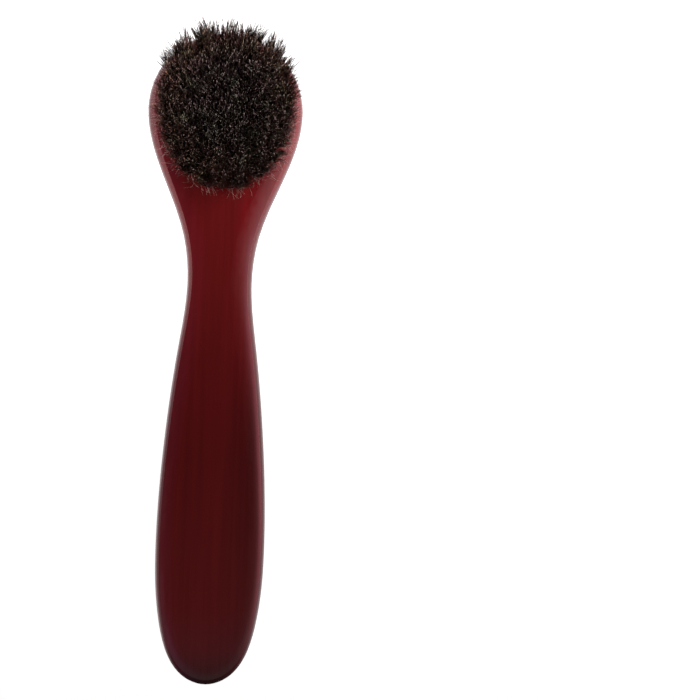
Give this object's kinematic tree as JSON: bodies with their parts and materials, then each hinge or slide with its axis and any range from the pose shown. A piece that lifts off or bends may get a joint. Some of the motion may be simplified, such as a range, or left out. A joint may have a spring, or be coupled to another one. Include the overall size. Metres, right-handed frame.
{
  "type": "shoe shine brush",
  "caption": "Shoe shine brush with a flat waisted wooden handle and a round head set with dense dark hair tufts.",
  "frame": {"origin": "centre of the brush's length and width, on the flat back that it rests on", "axes": "+Z out of the bristled face, +Y along the brush from the grip's butt to the head, +X to the right across it"},
  "size_m": [0.0404, 0.17, 0.032],
  "materials": {
    "lacquered_wood": "clear gloss lacquer over dark red stain",
    "hair": "natural dark brown to black hair, slight sheen",
    "staple_wire": "drawn wire, plain"
  },
  "bodies": {
    "root": {"brush_body": "lacquered_wood", "tuft_01": "hair", "tuft_02": "hair", "tuft_03": "hair", "tuft_04": "hair", "tuft_05": "hair", "tuft_06": "hair", "tuft_07": "hair", "tuft_08": "hair", "tuft_09": "hair", "tuft_10": "hair", "tuft_11": "hair", "tuft_12": "hair", "tuft_13": "hair", "tuft_14": "hair", "tuft_15": "hair", "tuft_16": "hair", "tuft_17": "hair", "tuft_18": "hair", "tuft_19": "hair", "tuft_20": "hair", "tuft_21": "hair", "tuft_22": "hair", "tuft_23": "hair", "tuft_24": "hair", "tuft_25": "hair", "tuft_26": "hair", "tuft_27": "hair", "tuft_28": "hair", "tuft_29": "hair", "tuft_30": "hair", "tuft_31": "hair", "tuft_32": "hair", "tuft_33": "hair", "tuft_34": "hair", "tuft_35": "hair", "tuft_36": "hair", "tuft_37": "hair", "tuft_38": "hair", "tuft_39": "hair", "tuft_40": "hair", "tuft_41": "hair", "tuft_42": "hair", "tuft_43": "hair", "tuft_44": "hair", "tuft_45": "hair", "tuft_46": "hair", "tuft_47": "hair", "tuft_48": "hair", "tuft_49": "hair", "tuft_50": "hair", "tuft_51": "hair", "tuft_52": "hair", "tuft_53": "hair", "tuft_54": "hair", "tuft_55": "hair", "tuft_staples": "staple_wire"}
  },
  "joints": []
}
